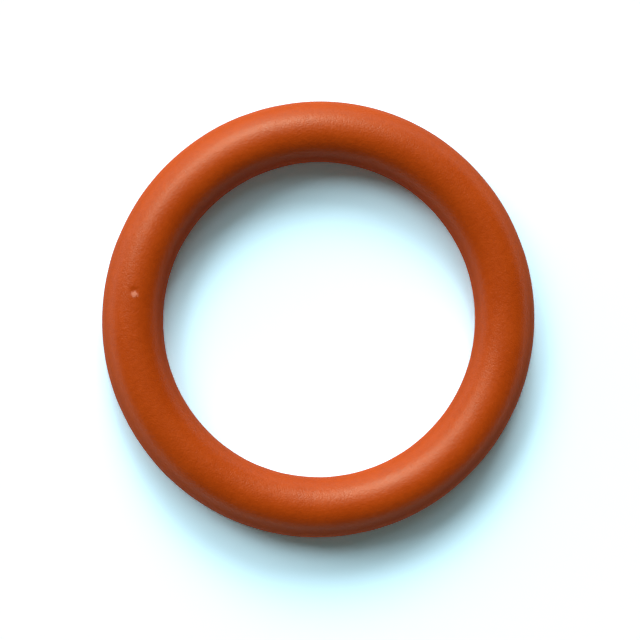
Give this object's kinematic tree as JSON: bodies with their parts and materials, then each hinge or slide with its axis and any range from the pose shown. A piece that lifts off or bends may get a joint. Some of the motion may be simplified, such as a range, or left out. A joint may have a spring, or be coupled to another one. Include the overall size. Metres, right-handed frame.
{
  "type": "fkm o-ring",
  "caption": "Endless rubber ring of round section, moulded whole, that seals the gap between a shaft or piston and its housing.",
  "frame": {"origin": "centre of the ring, on its axis and on the middle plane of the cord", "axes": "+Z along the ring's axis; the ring lies in the XY plane, with either face up"},
  "size_m": [0.0192, 0.0192, 0.0026],
  "materials": {
    "moulded_fkm": "satin, orange-brown, with faint moulded mottling"
  },
  "bodies": {
    "root": {"o_ring": "moulded_fkm"}
  },
  "joints": []
}
